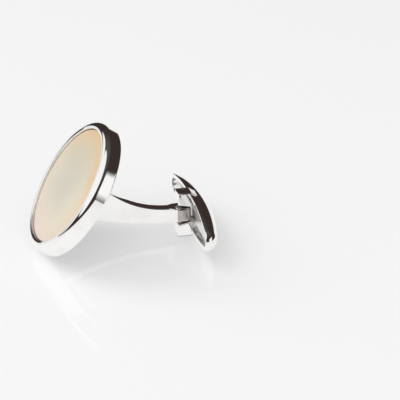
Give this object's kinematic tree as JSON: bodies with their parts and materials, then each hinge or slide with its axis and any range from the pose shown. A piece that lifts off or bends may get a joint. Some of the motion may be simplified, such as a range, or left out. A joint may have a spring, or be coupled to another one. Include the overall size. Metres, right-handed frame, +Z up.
{
  "type": "cufflink",
  "caption": "Round cufflink with a polished rim, a flat mother-of-pearl inlay, a curved arm and a hollow boat-shaped toggle that swivels on a pin.",
  "frame": {"origin": "middle of the box round the part, on the table that it lies on", "axes": "+X from the head along the arm to the toggle, +Y along the toggle, +Z up and along the pin"},
  "size_m": [0.0242, 0.0204, 0.0165],
  "materials": {
    "plated_metal": "mirror polished plating",
    "mother_of_pearl": "polished nacre",
    "clear_glue": "cured resin",
    "pin_steel": "turned and polished",
    "spring_steel": "rolled strip"
  },
  "bodies": {
    "head_and_arm": {"bezel_ring": "plated_metal", "back_cup": "plated_metal", "pearl_inlay": "mother_of_pearl", "adhesive_bed": "clear_glue", "arm": "plated_metal"},
    "toggle": {"toggle_shell": "plated_metal", "pivot_pin": "pin_steel", "click_spring": "spring_steel"}
  },
  "joints": [
    {"name": "toggle_swivel", "type": "hinge", "parent": "head_and_arm", "child": "toggle", "pos_m": [0.00837, 0, 0.00315], "axis": [0, 0, 1], "range_deg": [-90, 90]}
  ]
}
